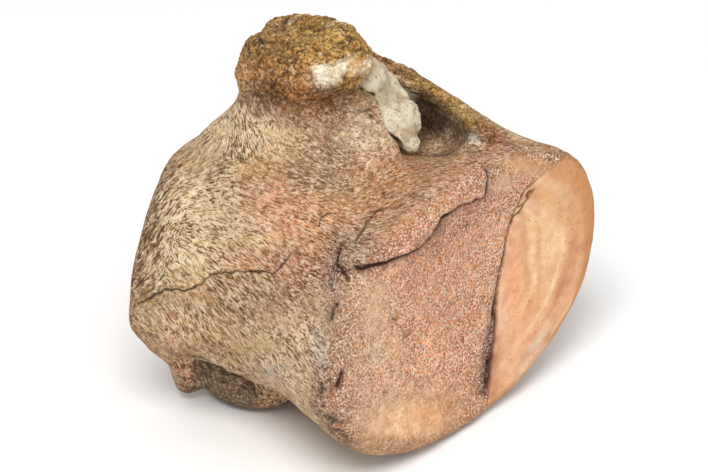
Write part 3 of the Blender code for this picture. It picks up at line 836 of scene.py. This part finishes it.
# Streaks: a noise stretched along the stored direction, in the unrolled plane of girth and length.
# The direction goes by steps, and the patterns of the two nearest steps fade into each other.
def makeFibres(f, girthRadius, axisHeight):
    inputs = {"Scale": 1100, "Stretch": 0.16, "Shift": 0, "Bend": 0.4}
    group, given, out = newGroup("boneFibres", inputs, ("Streak",))
    place = addNode(group, "ShaderNodeTexCoord").outputs["Object"]
    part = addNode(group, "ShaderNodeSeparateXYZ", {0: place}).outputs
    height = mathNode("SUBTRACT", part["Z"], axisHeight)
    girth = times(mathNode("ARCTAN2", height, part["X"]), girthRadius)
    reach = plus(times(height, height), times(part["X"], part["X"]))
    deep = plus(mathNode("SQRT", reach), given["Shift"])
    flat = addNode(group, "ShaderNodeCombineXYZ", {"X": girth, "Y": part["Y"], "Z": deep}).outputs[0]
    sine, cosine = attributeValue(group, "fibreSin"), attributeValue(group, "fibreCos")
    step = math.radians(f["stepDegrees"])
    count = mathNode("DIVIDE", times(mathNode("ARCTAN2", sine, cosine), 0.5), step)
    lower = mathNode("FLOOR", count)
    share = ramp(mathNode("FRACT", count), f["fade"][0], f["fade"][1])
    slim = {"X": given["Stretch"], "Y": 1.0, "Z": f["thickness"]}
    values = []
    for more in (0, 1):
        turn = {"Vector": flat, "Angle": times(plus(lower, more), -step)}
        turned = addNode(group, "ShaderNodeVectorRotate", turn, rotation_type="Z_AXIS").outputs[0]
        slimness = addNode(group, "ShaderNodeCombineXYZ", slim).outputs[0]
        slimmed = addNode(group, "ShaderNodeVectorMath", {0: turned, 1: slimness}, operation="MULTIPLY")
        form = {"Vector": slimmed.outputs[0], "Scale": given["Scale"], "Detail": f["detail"],
                "Roughness": f["roughness"], "Distortion": given["Bend"]}
        values.append(addNode(group, "ShaderNodeTexNoise", form).outputs["Fac"])
    both = addNode(group, "ShaderNodeMix", {0: share, 2: values[0], 3: values[1]}, data_type="FLOAT")
    group.links.new(both.outputs[0], out.inputs["Streak"])
    return group


# A group in a material, with its inputs in the order that the group lists them
def placeGroup(tree, group, values):
    made = tree.nodes.new("ShaderNodeGroup")
    made.node_tree = group
    for socket, value in zip(made.inputs, values):
        socket.default_value = value
    return made.outputs


def newMaterial(name):
    material = bpy.data.materials.new(name)
    material.use_nodes = True
    return material, material.node_tree, material.node_tree.nodes["Principled BSDF"]


# The object's only material
def dress(obj, material):
    obj.data.materials.clear()
    obj.data.materials.append(material)


boneFinish = {
    "roughness": (0.55, 0.88), "specular": 0.17, "bumpDistance": 0.0008, "bumpStrength": 1.0,
    "streakDark": (0.118, 0.056, 0.020), "poreDark": (0.300, 0.098, 0.050),
    "creviceShadeAndGrit": (0.045, 0.024, 0.010), "crackShadeColour": (0.044, 0.013, 0.007),
    "cream": (0.88, 0.74, 0.56), "fleckRed": (0.36, 0.12, 0.065), "grainLight": (1.0, 0.79, 0.62),
    # speckles: cells to a metre, low and high level, detail
    "mottle": (380, 0.35, 0.68, 5), "patches": (70, 0.42, 0.62, 3), "flecks": (800, 0.56, 0.68, 3),
    "bits": (1750, 0.52, 0.57, 2), "pores": (1900, 0.52, 0.57, 2.5), "grit": (1300, 0.50, 0.66, 3),
    "chips": (1000, 0.56, 0.68, 2), "dots": (1250, 0.66, 0.74, 1), "fine": (2300, 0.4, 0.6, 3),
    # streaks: cells to a metre, stretch, shift, bend
    "streak": (1900, 0.27, 0, 0.9), "longStreak": (1000, 0.18, 0.31, 0.7),
}


def makeBoneMaterial(f):
    material, tree, shader = newMaterial("fossilBone")
    colour = addNode(tree, "ShaderNodeAttribute", attribute_name="tone").outputs["Color"]

    def coat(share, name):
        nonlocal colour
        colour = mixColour(tree, share, colour, solid(f[name]))

    names = ("fibre", "grain", "creviceAndPitShade", "crack", "soft", "coarse")
    fibre, grain, creviceAndPitShade, crack, soft, coarse = (attributeValue(tree, name) for name in names)
    covered = mathNode("MINIMUM", 1.0, plus(soft, plus(fibre, grain)))
    rugged = mathNode("SUBTRACT", 1.0, covered)
    names = ("mottle", "patches", "flecks", "bits", "pores", "grit", "chips", "dots", "fine")
    mottle, patches, flecks, bits, pores, grit, chips, dots, fine = (
        placeGroup(tree, speckleGroup, f[name]) for name in names)
    streak = placeGroup(tree, fibreGroup, f["streak"])["Streak"]
    longStreak = placeGroup(tree, fibreGroup, f["longStreak"])["Streak"]

    # mottling, stronger in blue than in red, and weaker on whole joint surface
    spread = times(mathNode("SUBTRACT", mottle["Height"], 0.5), scaled(soft, -1.3, 2.1))
    channels = {0: scaled(spread, 0.80, 1.04), 1: scaled(spread, 1.00, 0.99),
                2: scaled(spread, 1.15, 0.90)}
    brown = addNode(tree, "ShaderNodeCombineColor", channels).outputs[0]
    colour = mixColour(tree, 1.0, colour, brown, "MULTIPLY")
    # fibres: pale ridges with dark gaps, at two widths, the wider ones in patches
    coat(times(fibre, ramp(streak, 0.49, 0.39, 0, 0.85)), "cream")
    coat(times(flecks["Mask"], scaled(soft, -0.30, 0.42)), "fleckRed")
    coat(times(fibre, ramp(streak, 0.515, 0.575, 0, 0.95)), "streakDark")
    coat(times(ramp(longStreak, 0.53, 0.63, 0, 0.90), times(fibre, coarse)), "streakDark")
    # grains of the bone's inside: pale bits, and dark reddish pores in patches
    coat(times(grain, times(bits["Mask"], 0.95)), "grainLight")
    coat(times(grain, times(pores["Mask"], scaled(patches["Mask"], 0.25, 0.62))), "poreDark")
    # the cap and broken edges: fine dark and pale grit
    coat(times(rugged, times(grit["Mask"], 0.60)), "creviceShadeAndGrit")
    coat(times(rugged, times(chips["Mask"], scaled(creviceAndPitShade, -0.55, 0.55))), "cream")
    coat(times(dots["Mask"], 0.4), "creviceShadeAndGrit")
    # painted shade in the crevices and the canal pit
    coat(times(creviceAndPitShade, 0.85), "creviceShadeAndGrit")
    # painted shade in the cracks and pits, the painted shadow below the rim crust, and painted shade in the
    # face gap
    coat(times(crack, 0.95), "crackShadeColour")
    tree.links.new(colour, shader.inputs["Base Color"])
    smoothest, roughest = f["roughness"]
    rough = scaled(mottle["Height"], roughest - smoothest, smoothest)
    tree.links.new(rough, shader.inputs["Roughness"])
    shader.inputs["Specular IOR Level"].default_value = f["specular"]

    grainHeight = mathNode("SUBTRACT", times(bits["Height"], 1.6), times(pores["Mask"], 0.7))
    gritHeight = mathNode("SUBTRACT", times(chips["Height"], 1.5), times(grit["Mask"], 0.6))
    height = times(mathNode("SUBTRACT", 1.0, streak), times(fibre, 1.6))
    for share, layer in ((grain, grainHeight), (rugged, gritHeight),
                         (scaled(soft, -0.55, 0.75), fine["Height"]),
                         (scaled(soft, -0.8, 1.2), mottle["Height"])):
        height = plus(height, times(share, layer))
    bumpForm = {"Height": height, "Strength": f["bumpStrength"], "Distance": f["bumpDistance"]}
    tree.links.new(addNode(tree, "ShaderNodeBump", bumpForm).outputs["Normal"], shader.inputs["Normal"])
    return material


rockFinish = {
    "white": paint(208, 196, 170), "grey": paint(166, 154, 126), "warm": paint(196, 160, 112),
    "gritGrey": paint(150, 140, 120), "speck": (0.13, 0.09, 0.06), "roughness": 0.8, "specular": 0.3,
    "specks": (1500, 0.54, 0.66, 3), "grit": (800, 0.55, 0.70, 3), "bumpStrength": 0.7, "bumpDistance": 0.0004,
    "voxel": 0.00045, "rounds": 1, "wave": 0.80, "ripple": 0.55, "joint": 0.30, "chip": 0.35, "highest": 0.20,
}


# The matrix in the canal: low waves and small hollows in mm, less the joints of a cell pattern, cut off at a
# height that keeps it clear of the bone.
def makeRock(f):
    obj = fineSkin("canal_rock", "rockSkin", f["voxel"], f["rounds"])
    p, n = meshArrays(obj.data)
    first, second = cellNoise(p, 0.0046, 92)
    push = f["wave"] * waves(p, 0.006, 91) + f["ripple"] * waves(p, 0.0022, 93, 2)
    push = push - f["joint"] * bell((second - first) / 0.06) + f["chip"] * (0.45 - first)
    push = np.minimum(push - 0.1, f["highest"])
    setPoints(obj.data, p + n * (push * 0.001)[:, None])
    tone = np.tile(f["white"], (len(p), 1))
    upper = rise(p[:, 2] + 0.004 * waves(p, 0.005, 97), 0.086, 0.091)
    for share, colour in ((0.9 * rise(waves(p, 0.004, 95), -0.1, 0.4), f["grey"]),
                          # painted shade: darker warm brown in the dents and joints
                          (0.7 * rise(-push, 0.1, 0.6), f["warm"] * 0.6),
                          (0.8 * upper, f["warm"]),
                          (0.6 * rise(p[:, 1], 0.018, 0.027), f["warm"])):
        tone = tone * (1 - share[:, None]) + colour * share[:, None]
    storeValue(obj.data, "tone", tone)
    material, tree, shader = newMaterial("canalRock")
    colour = addNode(tree, "ShaderNodeAttribute", attribute_name="tone").outputs["Color"]
    specks = placeGroup(tree, speckleGroup, f["specks"])
    grit = placeGroup(tree, speckleGroup, f["grit"])
    colour = mixColour(tree, times(grit["Mask"], 0.35), colour, solid(f["gritGrey"]))
    colour = mixColour(tree, times(specks["Mask"], 0.55), colour, solid(f["speck"]))
    tree.links.new(colour, shader.inputs["Base Color"])
    shader.inputs["Roughness"].default_value = f["roughness"]
    shader.inputs["Specular IOR Level"].default_value = f["specular"]
    bumpForm = {"Height": plus(specks["Height"], grit["Height"]), "Strength": f["bumpStrength"],
                "Distance": f["bumpDistance"]}
    tree.links.new(addNode(tree, "ShaderNodeBump", bumpForm).outputs["Normal"], shader.inputs["Normal"])
    dress(obj, material)
    print("rock made:", len(p), "points")
    return obj


# Stores what the bone's material reads at each point.
def paintBone(obj, z, relief):
    p, n = meshArrays(obj.data)
    fibreCos, fibreSin = fibreTurn(p, n, z)
    worn = (0.5 * relief["crust"] + 0.7 * relief["margin"]) * (1 - 0.6 * z.whole)
    values = {
        "tone": boneTone(p, z, relief), "fibreCos": fibreCos, "fibreSin": fibreSin, "coarse": z.coarse,
        "fibre": z.fibre * (1 - 0.5 * z.hollow),
        "grain": np.clip(z.grain + worn, 0, 1),
        "soft": np.clip(z.wholeFace + 0.8 * z.whole + 0.6 * z.dust, 0, 1),
        # painted shade in the crevices and the canal pit
        "creviceAndPitShade": np.clip(relief["creaseShade"] + 0.9 * z.dark, 0, 1),
        # painted shade in the cracks and pits, the painted shadow below the rim crust, and painted shade in
        # the face gap
        "crack": np.clip(relief["crackShade"] + 0.80 * relief["step"] + 0.25 * relief["gap"], 0, 1),
    }
    for name, value in values.items():
        storeValue(obj.data, name, value)
    dress(obj, makeBoneMaterial(boneFinish))
    print("bone painted")


speckleGroup = makeSpeckle()
fibreGroup = makeFibres(fibreForm, boneShape["girthRadius"], boneShape["faceMiddle"][1])
boneSkin = makeBone()
boneParts, boneExtra = sculptBone(boneSkin)
paintBone(boneSkin, boneParts, boneExtra)
rockSkin = makeRock(rockFinish)

floorValues = {"half": 1.2, "drop": 0.0002, "colour": (0.93, 0.93, 0.93), "roughness": 0.9}


def makeFloor(v):
    h, low = v["half"], -v["drop"]
    mesh = bpy.data.meshes.new("floor")
    mesh.from_pydata([(-h, -h, low), (h, -h, low), (h, h, low), (-h, h, low)], [], [(0, 1, 2, 3)])
    obj = addObject("floor", mesh)
    material, _, shader = newMaterial("floorPaint")
    shader.inputs["Base Color"].default_value = (*v["colour"], 1)
    shader.inputs["Roughness"].default_value = v["roughness"]
    dress(obj, material)


lightValues = {
    "world": 0.60, "aim": (0, 0, 0.04),
    "key": {"place": (-0.55, -0.35, 0.95), "size": 0.6, "power": 9.6},
    "fill": {"place": (0.30, -0.90, 0.45), "size": 0.8, "power": 2.2},
}


def makeLights(v):
    world = bpy.data.worlds.new("studio")
    world.use_nodes = True
    world.node_tree.nodes["Background"].inputs["Color"].default_value = (1, 1, 1, 1)
    world.node_tree.nodes["Background"].inputs["Strength"].default_value = v["world"]
    bpy.context.scene.world = world
    for name in ("key", "fill"):
        lamp = bpy.data.lights.new(name, "AREA")
        lamp.shape, lamp.size, lamp.energy = "DISK", v[name]["size"], v[name]["power"]
        obj = addObject(name, lamp)
        obj.location = v[name]["place"]
        obj.rotation_euler = (Vector(v[name]["place"]) - Vector(v["aim"])).to_track_quat("Z", "Y").to_euler()


makeFloor(floorValues)
makeLights(lightValues)
bpy.context.scene.view_settings.view_transform = "Standard"
print("floor and lights made")

for piece, node, slotName in ((boneSkin, "vertebra_bone", "bone"), (rockSkin, "canal_rock", "rock")):
    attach(piece, "root")
    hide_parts(node)
